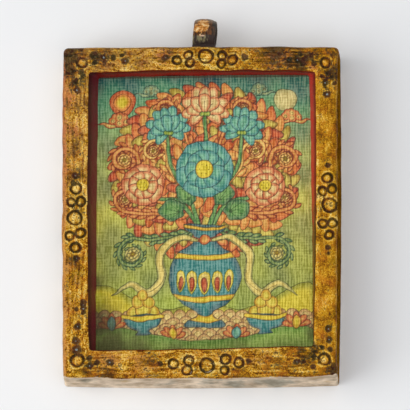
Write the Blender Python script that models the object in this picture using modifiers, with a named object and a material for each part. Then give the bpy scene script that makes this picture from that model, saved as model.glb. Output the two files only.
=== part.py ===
"""Miniature painting on cloth in a small gilt box frame with a hanging ring.

The frame lies on its flat back: +Z comes out of the picture, +Y runs to the hanging ring and +X to the
right. The origin is the middle of the frame's back. The frame is modelled by hand, so its sides bow and
its corners are uneven.
"""
import math
from collections import namedtuple

import bmesh
import bpy
import numpy as np
from mathutils import Matrix

MM = 0.001

# Gaps and thicknesses
PIECE_GAP = 0.3 * MM
CLOTH_THICKNESS = 1.0 * MM

# Frame: heights above its back
FRAME_DEPTH = 12.0 * MM
CLOTH_FACE = 6.0 * MM
RECESS_FLOOR = CLOTH_FACE - CLOTH_THICKNESS - PIECE_GAP

# Frame: its four outlines in millimetres, from the back over the front to the floor of the recess.
# A bow is how far the middle of a side stands out from the straight line between its corners.
Outline = namedtuple("Outline", "height_m radius top_left top_right bottom_right bottom_left bows")
Bows = namedtuple("Bows", "top right bottom left")
BACK = Outline(0.0, 1.5, (-25.3, 31.0), (25.5, 30.7), (25.0, -30.8), (-25.2, -30.6), Bows(0.1, 0.1, 0.45, 0.1))
FRONT = Outline(FRAME_DEPTH, 1.2, (-25.0, 30.7), (25.1, 30.3), (24.8, -30.5), (-24.7, -30.4),
                Bows(0.1, 0.1, 0.3, 0.35))
OPENING = Outline(FRAME_DEPTH, 0.8, (-20.4, 25.9), (21.2, 25.9), (20.5, -24.9), (-20.1, -25.4),
                  Bows(0.4, 0.3, 0.1, 0.2))
FLOOR = Outline(RECESS_FLOOR, 0.8, (-19.4, 26.2), (20.0, 26.3), (20.4, -25.0), (-19.4, -25.3),
                Bows(0.1, 0.1, 0.1, 0.1))
SIDE_STEPS = 4
CORNER_STEPS = 4
RIM_ROUNDING = 0.7 * MM
RIM_STEPS = 2
RIM_SHARES = {"back": 0.6, "front": 1.0, "opening": 0.5}

# Hanging ring: a turned band, its hole along X, on a short foot
RING_X = 0.7 * MM
RING_HEIGHT = 6.2 * MM
RING_RADIUS = 2.9 * MM
RING_WALL = 1.05 * MM
RING_WIDTH = 4.0 * MM
RING_EDGE = 0.3 * MM
RING_STEPS = 28
FOOT_DEPTH = 3.2 * MM
FOOT_EDGE = 0.25 * MM

# Stamped ornament in the front face, in millimetres: a mark over RING_MARK in radius is a ring
# groove, a smaller one a pricked dot. Each group has its own place and the marks lie about it.
RING_MARK = 0.7
GROOVE_WIDTH = 0.45
GROOVE_DEPTH = 0.35
DOT_DEPTH = 0.3
CUT_ABOVE = 0.05
Mark = namedtuple("Mark", "x y radius")
Group = namedtuple("Group", "x y marks")
GROUPS = {
    "top_middle": Group(1.1, 28.8, (
        Mark(-7.4, -0.3, 0.5), Mark(-5.3, -0.7, 0.9), Mark(-3.2, 0.2, 0.9), Mark(-2.9, -1.2, 0.9),
        Mark(0.0, 0.0, 1.4), Mark(3.0, 0.1, 0.9), Mark(2.9, -1.3, 0.9), Mark(4.9, -0.7, 1.0),
        Mark(7.1, -0.4, 0.5))),
    "bottom_middle": Group(1.3, -28.3, (
        Mark(-8.6, 0.3, 0.4), Mark(-6.1, 0.2, 1.0), Mark(-3.3, 0.8, 1.0), Mark(-3.6, -0.9, 1.0),
        Mark(0.0, 0.0, 1.4), Mark(3.4, 1.1, 1.0), Mark(3.2, -0.9, 0.9), Mark(5.8, 0.4, 1.0),
        Mark(7.6, 0.6, 0.4))),
    "left_middle": Group(-22.9, -1.0, (
        Mark(0.2, 7.8, 0.5), Mark(-0.3, 6.4, 0.4), Mark(0.3, 5.4, 1.1), Mark(-0.7, 2.9, 0.9),
        Mark(1.1, 3.0, 1.0), Mark(0.0, 0.0, 1.4), Mark(-0.8, -3.3, 0.9), Mark(1.1, -2.8, 1.0),
        Mark(0.2, -5.5, 1.0), Mark(0.3, -7.6, 0.5))),
    "right_middle": Group(23.7, 0.9, (
        Mark(-0.2, 7.4, 0.4), Mark(-0.4, 5.0, 1.0), Mark(-1.3, 2.6, 0.9), Mark(0.4, 3.0, 0.95),
        Mark(0.0, 0.0, 1.4), Mark(-1.2, -3.4, 0.9), Mark(0.5, -3.3, 0.9), Mark(-0.1, -5.5, 0.9),
        Mark(-0.3, -7.8, 0.4))),
    "top_left": Group(-21.6, 27.8, (
        Mark(0.0, 0.0, 1.05), Mark(2.0, 1.4, 0.5), Mark(3.9, 1.0, 0.45), Mark(5.6, 0.8, 0.4),
        Mark(7.9, 0.2, 0.5), Mark(-0.2, -1.8, 0.45), Mark(-1.1, -3.4, 0.4), Mark(-1.0, -5.1, 0.5))),
    "top_right": Group(23.0, 27.3, (
        Mark(0.0, 0.0, 1.05), Mark(-2.1, 0.0, 0.4), Mark(-3.9, 0.8, 0.4), Mark(-5.1, 0.6, 0.45),
        Mark(-6.7, 0.6, 0.45), Mark(0.5, -2.1, 0.4), Mark(-0.1, -3.8, 0.45), Mark(0.3, -5.9, 0.55))),
    "bottom_left": Group(-22.3, -27.3, (
        Mark(0.0, 0.0, 1.25), Mark(-0.2, 2.1, 0.5), Mark(-0.3, 3.7, 0.5), Mark(0.0, 6.2, 0.5),
        Mark(2.1, 0.4, 0.4), Mark(2.2, -1.0, 0.45), Mark(3.6, -0.5, 0.4), Mark(5.9, -0.4, 0.5))),
    "bottom_right": Group(22.6, -27.4, (
        Mark(0.0, 0.0, 1.15), Mark(-0.4, 2.2, 0.4), Mark(1.0, 1.8, 0.4), Mark(0.8, 3.6, 0.45),
        Mark(0.8, 5.5, 0.5), Mark(-2.0, 0.5, 0.4), Mark(-2.1, -1.3, 0.4), Mark(-3.8, -0.3, 0.4),
        Mark(-5.0, -0.4, 0.45))),
}


def clear_scene():
    """Takes out whatever the file held before."""
    for obj in list(bpy.data.objects):
        bpy.data.objects.remove(obj, do_unlink=True)


def collection(name):
    """A collection linked to the scene."""
    made = bpy.data.collections.new(name)
    bpy.context.scene.collection.children.link(made)
    return made


def principled(name, color, roughness, metallic):
    """A material with one Principled shader."""
    material = bpy.data.materials.new(name)
    material.use_nodes = True
    shader = material.node_tree.nodes["Principled BSDF"]
    shader.inputs["Base Color"].default_value = (*color, 1.0)
    shader.inputs["Roughness"].default_value = roughness
    shader.inputs["Metallic"].default_value = metallic
    return material


def add_object(name, bm, home):
    """Turns a bmesh into an object in the collection."""
    bmesh.ops.recalc_face_normals(bm, faces=bm.faces)
    mesh = bpy.data.meshes.new(name)
    bm.to_mesh(mesh)
    bm.free()
    obj = bpy.data.objects.new(name, mesh)
    home.objects.link(obj)
    return obj


def make_cutter(obj):
    """Keeps a cutting shape out of the model."""
    obj.hide_render = True
    obj.display_type = "WIRE"


def boolean(obj, other, operation):
    """Adds an exact Boolean with another object."""
    modifier = obj.modifiers.new(operation.lower(), "BOOLEAN")
    modifier.operation = operation
    modifier.object = other
    modifier.solver = "EXACT"
    modifier.use_self = True


def bowed_side(start, end, bow):
    """Points from start to end, with a parabola of height bow to the left of the way."""
    share = np.linspace(0.0, 1.0, SIDE_STEPS + 1)[:, None]
    way = (end - start) / np.linalg.norm(end - start)
    outward = np.array([-way[1], way[0]])
    return start + share * (end - start) + 4.0 * bow * share * (1.0 - share) * outward


def rounded_corner(start, corner, end):
    """The inner points of a quadratic curve that leaves start and meets end, drawn to the corner."""
    share = np.linspace(0.0, 1.0, CORNER_STEPS + 1)[1:-1, None]
    return (1 - share) ** 2 * start + 2 * share * (1 - share) * corner + share**2 * end


def outline_points(outline, inset=0.0):
    """A closed outline in metres, clockwise from the top left: bowed sides joined by rounded corners."""
    corners = np.array(outline[2:6]) * MM
    middle = corners.mean(axis=0)
    corners = corners - np.sign(corners - middle) * inset
    radius = outline.radius * MM
    sides = []
    for index, bow in enumerate(outline.bows):
        start, end = corners[index], corners[(index + 1) % 4]
        way = (end - start) / np.linalg.norm(end - start)
        sides.append(bowed_side(start + radius * way, end - radius * way, bow * MM))
    points = []
    for index, side in enumerate(sides):
        following = (index + 1) % 4
        points += [side, rounded_corner(side[-1], corners[following], sides[following][0])]
    return np.concatenate(points)


def add_ring(bm, points, height):
    """Adds one outline of vertices at a height."""
    return [bm.verts.new((x, y, height)) for x, y in points]


def bridge(bm, lower, upper):
    """Adds the band of faces between two outlines of as many vertices."""
    count = len(lower)
    for index in range(count):
        after = (index + 1) % count
        bm.faces.new((lower[index], lower[after], upper[after], upper[index]))


def build_frame(home, cutters):
    """The box frame: a loft from its back over its front face and down the recess, then stamped."""
    bm = bmesh.new()
    outlines = (BACK, FRONT, OPENING, FLOOR)
    rings = [add_ring(bm, outline_points(outline), outline.height_m) for outline in outlines]
    for lower, upper in zip(rings, rings[1:]):
        bridge(bm, lower, upper)
    bm.faces.new(rings[0])
    bm.faces.new(rings[-1])
    weights = bm.edges.layers.float.new("bevel_weight_edge")
    for ring, share in zip(rings, RIM_SHARES.values()):
        for index, vertex in enumerate(ring):
            edge = bm.edges.get((vertex, ring[(index + 1) % len(ring)]))
            edge[weights] = share
    frame = add_object("frame", bm, home)
    rounding = frame.modifiers.new("rims", "BEVEL")
    rounding.limit_method = "WEIGHT"
    rounding.width = RIM_ROUNDING
    rounding.segments = RIM_STEPS
    boolean(frame, build_stamps(cutters), "DIFFERENCE")
    return frame


def add_groove(bm, place, radius):
    """Adds a ring of V section that cuts a groove with its outer edge at the radius."""
    top = FRAME_DEPTH + CUT_ABOVE * MM
    section = (
        (radius, top),
        (radius - GROOVE_WIDTH * MM, top),
        (radius - GROOVE_WIDTH * MM / 2, FRAME_DEPTH - GROOVE_DEPTH * MM),
    )
    verts = [bm.verts.new((place[0] + across, place[1], height)) for across, height in section]
    edges = [bm.edges.new((verts[index], verts[(index + 1) % 3])) for index in range(3)]
    steps = 16 if radius > 1.2 * MM else 12
    bmesh.ops.spin(bm, geom=verts + edges, cent=(*place, 0.0), axis=(0.0, 0.0, 1.0),
                   angle=math.tau, steps=steps, use_merge=True)


def add_dot(bm, place, radius):
    """Adds a six-sided point that pricks a dot."""
    depth = (DOT_DEPTH + CUT_ABOVE) * MM
    middle = FRAME_DEPTH + CUT_ABOVE * MM - depth / 2
    bmesh.ops.create_cone(bm, cap_ends=True, segments=6, radius1=radius * 0.4, radius2=radius,
                          depth=depth, matrix=Matrix.Translation((*place, middle)))


def build_stamps(cutters):
    """All the rings and dots that are stamped in the front face, as one cutter."""
    bm = bmesh.new()
    for group in GROUPS.values():
        for mark in group.marks:
            place = ((group.x + mark.x) * MM, (group.y + mark.y) * MM)
            add = add_groove if mark.radius > RING_MARK else add_dot
            add(bm, place, mark.radius * MM)
    stamps = add_object("stamps", bm, cutters)
    make_cutter(stamps)
    return stamps


def build_canvas(home):
    """The painted cloth, stretched flat over the floor of the recess with a small gap all round."""
    bm = bmesh.new()
    points = outline_points(FLOOR, inset=PIECE_GAP)
    lower = add_ring(bm, points, CLOTH_FACE - CLOTH_THICKNESS)
    upper = add_ring(bm, points, CLOTH_FACE)
    bridge(bm, lower, upper)
    bm.faces.new(lower)
    bm.faces.new(upper)
    return add_object("canvas", bm, home)


def top_side_at(height):
    """How far along Y the middle of the frame's top side lies at a height above the back."""
    back, front = ((o.top_left[1] + o.top_right[1]) / 2 + o.bows.top for o in (BACK, FRONT))
    return (back + (front - back) * height / FRAME_DEPTH) * MM


def build_ring(home, cutters):
    """The hanging ring: a band with rounded edges turned about X, and the foot it stands on."""
    foot_base = top_side_at(RING_HEIGHT - FOOT_DEPTH / 2) + PIECE_GAP
    ring_y = foot_base + RING_RADIUS
    half, inner = RING_WIDTH / 2, RING_RADIUS - RING_WALL
    profile = (
        (-half, inner + RING_EDGE), (-half, RING_RADIUS - RING_EDGE), (RING_EDGE - half, RING_RADIUS),
        (half - RING_EDGE, RING_RADIUS), (half, RING_RADIUS - RING_EDGE), (half, inner + RING_EDGE),
        (half - RING_EDGE, inner), (RING_EDGE - half, inner),
    )
    bm = bmesh.new()
    verts = [bm.verts.new((RING_X + along, ring_y, RING_HEIGHT + out)) for along, out in profile]
    for index, vertex in enumerate(verts):
        bm.edges.new((vertex, verts[(index + 1) % len(verts)]))
    bmesh.ops.spin(bm, geom=list(bm.verts) + list(bm.edges), cent=(RING_X, ring_y, RING_HEIGHT),
                   axis=(1.0, 0.0, 0.0), angle=math.tau, steps=RING_STEPS, use_merge=True)
    ring = add_object("hanging_ring", bm, home)

    foot_top = ring_y - inner - RING_WALL / 3
    bm = bmesh.new()
    size = (RING_WIDTH - RING_EDGE, foot_top - foot_base, FOOT_DEPTH)
    place = (RING_X, (foot_top + foot_base) / 2, RING_HEIGHT)
    bmesh.ops.create_cube(bm, size=1.0, matrix=Matrix.Translation(place) @ Matrix.Diagonal((*size, 1.0)))
    bmesh.ops.bevel(bm, geom=list(bm.edges), offset=FOOT_EDGE, segments=1, affect="EDGES")
    foot = add_object("ring_foot", bm, cutters)
    make_cutter(foot)
    boolean(ring, foot, "UNION")
    return ring


clear_scene()
model = collection("miniature_painting")
tools = collection("shapes_that_cut_or_join")
build_frame(model, tools).data.materials.append(principled("gilt_paint", (0.41, 0.19, 0.02), 0.45, 0.35))
build_canvas(model).data.materials.append(principled("painted_cloth", (0.30, 0.27, 0.10), 0.85, 0.0))
build_ring(model, tools).data.materials.append(principled("worn_brass", (0.20, 0.11, 0.03), 0.40, 0.8))
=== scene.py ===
"""A miniature painting on cloth, in a small gilt box frame with a hanging ring.

It lies on its back on a pale surface, seen from almost straight above, in soft light from the left.
Shapes are worked out in millimetres. The camera, the lights, the materials and CLOTH_FLAT are in metres.
A material's colours are as the eye names them, 0 to 255.
"""
import math

import bpy
import numpy as np
from mathutils import Matrix, Vector


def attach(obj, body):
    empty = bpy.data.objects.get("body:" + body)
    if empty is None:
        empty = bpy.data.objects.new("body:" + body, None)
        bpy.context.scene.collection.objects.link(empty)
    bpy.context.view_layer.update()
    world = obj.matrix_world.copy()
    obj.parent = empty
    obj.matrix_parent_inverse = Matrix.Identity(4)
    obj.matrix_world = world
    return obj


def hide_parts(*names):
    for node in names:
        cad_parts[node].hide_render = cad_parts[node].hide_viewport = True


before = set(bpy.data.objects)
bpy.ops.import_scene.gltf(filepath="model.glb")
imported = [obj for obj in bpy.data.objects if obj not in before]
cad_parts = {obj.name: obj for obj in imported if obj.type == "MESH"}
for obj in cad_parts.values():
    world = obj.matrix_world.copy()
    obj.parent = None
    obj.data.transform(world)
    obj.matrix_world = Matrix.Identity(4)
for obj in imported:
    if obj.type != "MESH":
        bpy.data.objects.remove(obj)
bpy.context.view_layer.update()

MM = 0.001


# ---- View, surface and light ---------------------------------------------------------------------
# The camera hangs almost straight over the painting, a little towards its foot and its right side.
# The surface is plain and pale; a wide soft light stands low on the left, and the room fills the rest.
LEAN = Vector((0.06, -0.167, 1.0)).normalized()
AIM = Vector((0.95, 1.1, 12.0)) * MM
DISTANCE = 0.9
SEEN_WIDTH = 74.75 * MM


def shown(name, data):
    """An object with the data, put in the scene."""
    made = bpy.data.objects.new(name, data)
    bpy.context.scene.collection.objects.link(made)
    return made


camera_data = bpy.data.cameras.new("camera")
camera_data.lens = camera_data.sensor_width * DISTANCE / SEEN_WIDTH
camera = shown("camera", camera_data)
rightward = Vector((0.0, 1.0, 0.0)).cross(LEAN).normalized()
camera_axes = Matrix((rightward, LEAN.cross(rightward), LEAN)).transposed().to_4x4()
camera.matrix_world = Matrix.Translation(AIM + DISTANCE * LEAN) @ camera_axes
bpy.context.scene.camera = camera
bpy.context.scene.view_settings.view_transform = "Standard"


def eye(colour):
    """The linear colour, 0 to 1, of one as the eye names it (the sRGB curve undone)."""
    share = np.asarray(colour, float) / 255
    return np.where(share <= 0.04045, share / 12.92, ((share + 0.055) / 1.055) ** 2.4)


class Wire:
    """A value in a material: sums on it add Math nodes, so a formula reads as plain arithmetic."""

    def __init__(self, paint, socket):
        self.paint, self.socket = paint, socket

    def __add__(self, other):
        return self.paint.maths("ADD", self, other)

    def __mul__(self, other):
        return self.paint.maths("MULTIPLY", self, other)

    def __sub__(self, other):
        return self.paint.maths("SUBTRACT", self, other)

    def __rsub__(self, other):
        return self.paint.maths("SUBTRACT", other, self)

    __radd__, __rmul__ = __add__, __mul__


class Paint:
    def __init__(self, name):
        self.material = bpy.data.materials.new(name)
        self.material.use_nodes = True
        self.tree = self.material.node_tree
        self.shader = self.tree.nodes["Principled BSDF"]

    def node(self, kind, settings, inputs, output=0):
        """Adds a node: its settings first (a ramp's as stops), then the value or link of each socket."""
        made = self.tree.nodes.new(kind)
        for name, value in settings.items():
            if name == "stops":
                while len(made.color_ramp.elements) < len(value):
                    made.color_ramp.elements.new(1.0)
                for element, (position, colour) in zip(made.color_ramp.elements, value):
                    element.position, element.color = position, (*eye(colour), 1.0)
            else:
                setattr(made, name, value)
        for name, value in inputs.items():
            self.feed(made.inputs[name], value)
        return Wire(self, made.outputs[output])

    def feed(self, socket, value):
        """Links a wire to a socket, or sets the socket's own value."""
        if isinstance(value, Wire):
            self.tree.links.new(value.socket, socket)
        else:
            socket.default_value = (*eye(value), 1.0) if socket.type == "RGBA" else value

    def maths(self, operation, *values):
        """The result of a Math node."""
        return self.node("ShaderNodeMath", {"operation": operation}, dict(enumerate(values)))

    def mix(self, share, one, other, blend="MIX"):
        """One colour turning into the other as share goes from 0 to 1."""
        settings = {"data_type": "RGBA", "blend_type": blend, "clamp_factor": True}
        return self.node("ShaderNodeMix", settings, {0: share, 6: one, 7: other}, output=2)

    def ramp(self, value, *stops):
        """The colour of a value between stops, each a position and a colour."""
        return self.node("ShaderNodeValToRGB", {"stops": stops}, {0: value})

    def noise(self, place, scale, detail=3, rough=0.6, stretch=None):
        """Cloudy noise about 0.5, as fine as scale lumps a metre. Stretch multiplies the place first."""
        if stretch:
            place = self.node("ShaderNodeVectorMath", {"operation": "MULTIPLY"}, {0: place, 1: stretch})
        return self.node("ShaderNodeTexNoise", {}, {"Vector": place, "Scale": scale, "Detail": detail,
                                                    "Roughness": rough})

    def step(self, value, low, high):
        """0 below low, 1 above high, smooth between."""
        return self.node("ShaderNodeMapRange", {"interpolation_type": "SMOOTHSTEP"},
                         {"Value": value, "From Min": low, "From Max": high})

    def held(self, name, output="Fac"):
        """An attribute of the mesh."""
        return self.node("ShaderNodeAttribute", {"attribute_name": name}, {}, output)

    def where(self):
        """Where a point lies on the piece, in metres: the place itself, then its x and its y."""
        place = self.node("ShaderNodeTexCoord", {}, {}, "Object")
        return place, *(self.node("ShaderNodeSeparateXYZ", {}, {0: place}, axis) for axis in (0, 1))

    def bump(self, height, distance):
        """The normal of a surface with that height, distance metres high where height is 1."""
        return self.node("ShaderNodeBump", {}, {"Height": height, "Distance": distance, "Strength": 1.0})

    def finish(self, **inputs):
        """Feeds the shader's sockets, named with _ for a space, and returns the material."""
        for name, value in inputs.items():
            self.feed(self.shader.inputs[name.replace("_", " ")], value)
        return self.material


def area_light(name, place, size, power, colour):
    """A rectangular soft light that faces the painting's middle."""
    data = bpy.data.lights.new(name, "AREA")
    data.shape, data.size, data.size_y = "RECTANGLE", *size
    data.energy, data.color = power, colour
    light = shown(name, data)
    light.location = place
    light.rotation_euler = (-Vector(place)).to_track_quat("-Z", "Y").to_euler()


area_light("window", (-0.504, -0.12, 0.432), (0.54, 0.72), 2.64, (1.0, 0.995, 0.98))
area_light("ceiling", (0.1, -0.15, 1.0), (0.8, 0.8), 3.2, (0.985, 0.99, 1.0))
world = bpy.data.worlds.new("room")
world.use_nodes = True
world.node_tree.nodes["Background"].inputs["Color"].default_value = (0.975, 0.985, 1.0, 1.0)
world.node_tree.nodes["Background"].inputs["Strength"].default_value = 0.44
bpy.context.scene.world = world


def shaped(name, places, faces, **attributes):
    """A smooth-shaded piece of points in millimetres and faces. Each attribute gives the points a number,
    or a colour if it is called paint."""
    mesh = bpy.data.meshes.new(name)
    mesh.from_pydata((places * MM).tolist(), [], faces)
    mesh.shade_smooth()
    for key, value in attributes.items():
        kind, field = ("FLOAT_COLOR", "color") if key == "paint" else ("FLOAT", "value")
        mesh.attributes.new(key, kind, "POINT").data.foreach_set(field, value.ravel().astype(np.float32))
    return shown(name, mesh)


SURFACE_HALF, SURFACE_LEVEL = 800.0, -0.02
SURFACE_COLOUR = (241.65, 242.61, 244.04)
surface_corners = SURFACE_HALF * np.array([(-1, -1, 0), (1, -1, 0), (1, 1, 0), (-1, 1, 0)])
surface = shaped("surface", surface_corners + (0, 0, SURFACE_LEVEL), [(0, 1, 2, 3)])
surface.data.materials.append(Paint("pale_surface").finish(Base_Color=SURFACE_COLOUR, Roughness=0.7))


# ---- Frame ---------------------------------------------------------------------------------------
# A box frame modelled by hand in one piece, primed, painted orange-red and then ochre gold, with the
# recess painted dark red. Rings and dots are pressed in its face, and dark wax is rubbed into them.
FRAME_DEPTH = 12.0
CLOTH_FACE = 6.0
RECESS_FLOOR = 4.7
# Outlines: corner radius, corners clockwise from the top left, bow of each side from the top.
BACK = (0.7, ((-25.6, 31.0), (25.4, 30.7), (24.9, -30.85), (-25.65, -30.6)), (0.1, 0.32, 0.36, 0.1))
FRONT = (1.2, ((-25.15, 30.7), (25.1, 30.3), (24.75, -30.5), (-24.85, -30.4)), (0.1, 0.15, 0.3, 0.22))
OPENING = (0.65, ((-20.25, 25.85), (21.05, 25.6), (20.5, -24.9), (-20.1, -25.4)), (0.35, 0.3, 0.1, 0.2))
FLOOR = (0.45, ((-19.1, 26.2), (19.85, 26.25), (20.4, -25.0), (-19.4, -25.3)), (0.1, 0.1, 0.1, 0.1))
# Where the face spreads sideways at a corner: x, y, push.
FLARES = ((25.1, 30.3, 0.5), (24.8, -30.5, 0.4))
FLARE_REACH = 2.4
CORNER_STEPS = 14
# Steps along a side: fine beside the marks of its own rail, coarse elsewhere.
FINE_STEP, COARSE_STEP = 0.125, 0.42
SIDE_SAMPLES, RAIL_REACH, MARK_MARGIN = 1500, 5.4, 0.5
RAIL_ROWS = 30
RIM, INNER_RIM, BACK_RIM = 0.75, 0.45, 0.45
RIM_ROWS, INNER_RIM_ROWS, BACK_RIM_ROWS = 6, 5, 4
WALL_ROWS, RECESS_ROWS = 9, 8
TROUGH_DEPTH, LIP_HEIGHT, PIT_DEPTH = 0.42, 0.13, 0.26

# Marks in the face: place of each group, then x, y, radius of each mark about it. First the rails' middles
# (top, foot, left, right), then the corners (two at the top, two at the foot), and last an oblong mark.
RING_MARK = 0.7
STAMPS = (
    ((1.1, 28.8), ((-7.4, -0.3, 0.5), (-5.3, -0.7, 0.9), (-3.2, 0.2, 0.9), (-2.9, -1.2, 0.9), (0, 0, 1.4),
        (3, 0.1, 0.9), (2.9, -1.3, 0.9), (4.9, -0.7, 1), (7.1, -0.4, 0.5))),
    ((1.3, -28.3), ((-8.6, 0.3, 0.4), (-6.1, 0.2, 1), (-3.3, 0.8, 1), (-3.6, -0.9, 1), (0, 0, 1.4),
        (3.4, 1.1, 1), (3.2, -0.9, 0.9), (5.8, 0.4, 1), (7.6, 0.6, 0.4))),
    ((-22.9, -1), ((0.2, 7.8, 0.5), (-0.3, 6.4, 0.4), (0.3, 5.4, 1.1), (-0.7, 2.9, 0.9), (1.1, 3, 1),
        (0, 0, 1.4), (-0.8, -3.3, 0.9), (1.1, -2.8, 1), (0.2, -5.5, 1), (0.3, -7.6, 0.5))),
    ((23.7, 0.9), ((-0.2, 7.4, 0.4), (-0.4, 5, 1), (-1.3, 2.6, 0.9), (0.4, 3, 0.95), (0, 0, 1.4),
        (-1.2, -3.4, 0.9), (0.5, -3.3, 0.9), (-0.1, -5.5, 0.9), (-0.3, -7.8, 0.4), (-0.2, -9, 0.25))),
    ((-21.6, 27.8), ((0, 0, 1.05), (2, 1.4, 0.5), (2.2, -0.1, 0.35), (3.9, 1, 0.45), (4.1, 0.2, 0.3),
        (5.6, 0.8, 0.4), (7.3, 1.3, 0.3), (7.9, 0.2, 0.5), (-0.2, -1.8, 0.45), (0.3, -2.5, 0.3),
        (-1.1, -3.4, 0.4), (-1, -5.1, 0.5))),
    ((23, 27.3), ((0, 0, 1.05), (-2.1, 0, 0.4), (-2.5, 1.4, 0.35), (-3.9, 0.8, 0.4), (-4.2, -0.3, 0.3),
        (-5.1, 0.6, 0.45), (-6.7, 0.6, 0.45), (0.5, -2.1, 0.4), (-0.6, -2.6, 0.3), (-0.1, -3.8, 0.45),
        (1.6, -3.9, 0.3), (0.3, -5.9, 0.55))),
    ((-22.3, -27.3), ((0, 0, 1.25), (-0.2, 2, 0.62), (-0.3, 3.6, 0.55), (0, 6.2, 0.5), (-0.2, 9.4, 0.3),
        (2.1, 0.4, 0.4), (2.2, -1, 0.45), (3.6, -0.5, 0.4), (5.9, -0.4, 0.5))),
    ((22.6, -27.4), ((0, 0, 1.15), (-0.4, 2.2, 0.35), (1, 1.8, 0.4), (0.8, 3.6, 0.45), (0.8, 5.5, 0.5),
        (-2, 0.5, 0.4), (-2.1, -1.3, 0.4), (-3.8, -0.3, 0.35), (-5, -0.4, 0.45))),
    ((-21.25, -17.4), ((0, 0.9, 0.36), (0, 0.3, 0.42), (0, -0.4, 0.42), (0.05, -1, 0.36))))
MARKS = np.array([(x + dx, y + dy, radius) for (x, y), group in STAMPS for dx, dy, radius in group])
# Patches of heavier wax, and of red showing through the gold: x, y, radius, strength.
TARNISH = (
    (-24.2, 29.4, 2.6, 1), (-24.2, 26.6, 1.9, 0.85), (-22, 29.8, 2, 0.55), (-18.4, 28.6, 2.6, 0.58),
    (-22, 24.6, 2, 0.5), (-14, 29.4, 2.6, 0.3), (-5.5, 29.3, 2.2, 0.4), (6, 28.4, 2.6, 0.42),
    (9, 27.4, 2.4, 0.3), (18.6, 27.3, 1.9, 0.95), (16.6, 27.6, 1.5, 0.85), (20, 28.4, 1.4, 0.8),
    (24, 24.8, 1.9, 0.85), (23.2, 22.4, 1.3, 0.6), (-23.7, 26.2, 1.6, 0.95), (-22.9, 24, 1.3, 0.85),
    (-22.2, 30, 1.5, 0.7), (14, 29, 4.2, 0.7), (17.8, 28.8, 2, 0.75), (20.6, 28.6, 2.2, 0.6),
    (24, 29.2, 1.6, 0.5), (24.4, 25.6, 1.9, 0.75), (22.6, 24.6, 1.6, 0.5), (0, 29.9, 6, 0.25),
    (24.3, -29.3, 1.6, 0.85), (21, -26.4, 1.8, 0.7), (19, -27.6, 3, 0.5), (12.5, -28.4, 2.4, 0.4),
    (-20, -28.6, 2.2, 0.5), (-17.5, -29.4, 3.2, 0.5), (-8.6, -27.8, 2.6, 0.5), (1, -28.6, 5, 0.3),
    (6, -29.6, 4, 0.35), (14, -29.7, 4, 0.35), (-24.4, 20, 2, 0.3), (-23.8, 12, 3, 0.3),
    (-22.8, 6.8, 1.6, 0.6), (-22.8, 1, 4.5, 0.3), (-22.8, -9, 1.6, 0.6), (-23.8, -14, 3, 0.25),
    (-22.2, -19, 2.4, 0.25), (20.9, -25.6, 1.2, 0.9), (18.4, -25.6, 1, 0.7), (23.6, 1, 5, 0.25),
    (23.5, 8.6, 1.2, 0.4))
BOLE = (
    (-24.8, 22, 2.2, 0.7), (-24.6, 16, 2.4, 0.6), (-23.4, 15, 2, 0.45), (-24.9, 8, 1.8, 0.6),
    (-25, 0, 1.6, 0.6), (-24.8, -10, 2, 0.65), (-23.2, -12, 1.8, 0.4), (-24.8, -18, 2.4, 0.6),
    (-24.6, -25, 1.6, 0.5), (-6.5, 29.2, 2, 0.6), (14, 28, 5, 0.45), (-16.5, -27, 3.2, 0.55),
    (-11, -27.6, 3.6, 0.5), (4, -26.2, 3, 0.35), (11, -26.4, 3.4, 0.4), (22, -25, 2, 0.35),
    (-22.4, 28.9, 1, 0.5), (20.6, 26.8, 1.2, 0.5), (10, 29.8, 3, 0.3), (-10.5, 27.2, 2, 0.35))


def lumps(points, size, seed):
    """Smooth unevenness from about -1 to 1: a sum of nine sine waves, near size long, in random ways."""
    random = np.random.default_rng(seed)
    ways = random.normal(size=(9, points.shape[-1]))
    ways *= 2 * math.pi / size * random.uniform(0.6, 1.5, (9, 1)) / np.linalg.norm(ways, axis=1)[:, None]
    return np.sin(points @ ways.T + random.uniform(0, 2 * math.pi, 9)).sum(axis=-1) / 4.5


def ridge(far, middle, width, power=2):
    """1 at the middle, dying off on both sides: e to the minus ((far - middle) / width)^power."""
    return np.exp(-(((far - middle) / width) ** power))


def side_shares(start, end):
    """Shares of the way along a side, close together beside the marks: the inverse of a summed density."""
    length = math.dist(start, end)
    way = (np.array(end) - start) / length
    spots = np.linspace(0, length, SIDE_SAMPLES)
    offset = MARKS[:, :2] - start
    beside = offset @ way
    marked = np.abs(offset @ (way[1], -way[0])) < RAIL_REACH
    gap = np.abs(spots[:, None] - beside[marked]) - MARKS[marked, 2]
    density = np.where(gap.min(axis=1) < MARK_MARGIN, 1 / FINE_STEP, 1 / COARSE_STEP)
    total = np.cumsum(density) * spots[1]
    return np.interp(np.linspace(0, total[-1], math.ceil(total[-1])), total, spots / length)[1:-1]


def outline_points(outline, shares):
    """A closed outline: bowed sides at the given shares, joined by quadratic curves at the corners."""
    radius, corners, bows = outline
    corners = np.array(corners)
    bend = np.linspace(0, 1, CORNER_STEPS + 1)[:, None]
    points = []
    for index, bow in enumerate(bows):
        start, end = corners[index], corners[(index + 1) % 4]
        way = (end - start) / np.linalg.norm(end - start)
        after = corners[(index + 2) % 4] - end
        leave, meet = end - radius * way, end + radius * after / np.linalg.norm(after)
        share, begin = shares[index][:, None], start + radius * way
        bowed = 4 * bow * share * (1 - share) * np.array((-way[1], way[0]))
        points += [begin + share * (leave - begin) + bowed,
                   (1 - bend) ** 2 * leave + 2 * bend * (1 - bend) * end + bend**2 * meet]
    return np.concatenate(points)


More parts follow.
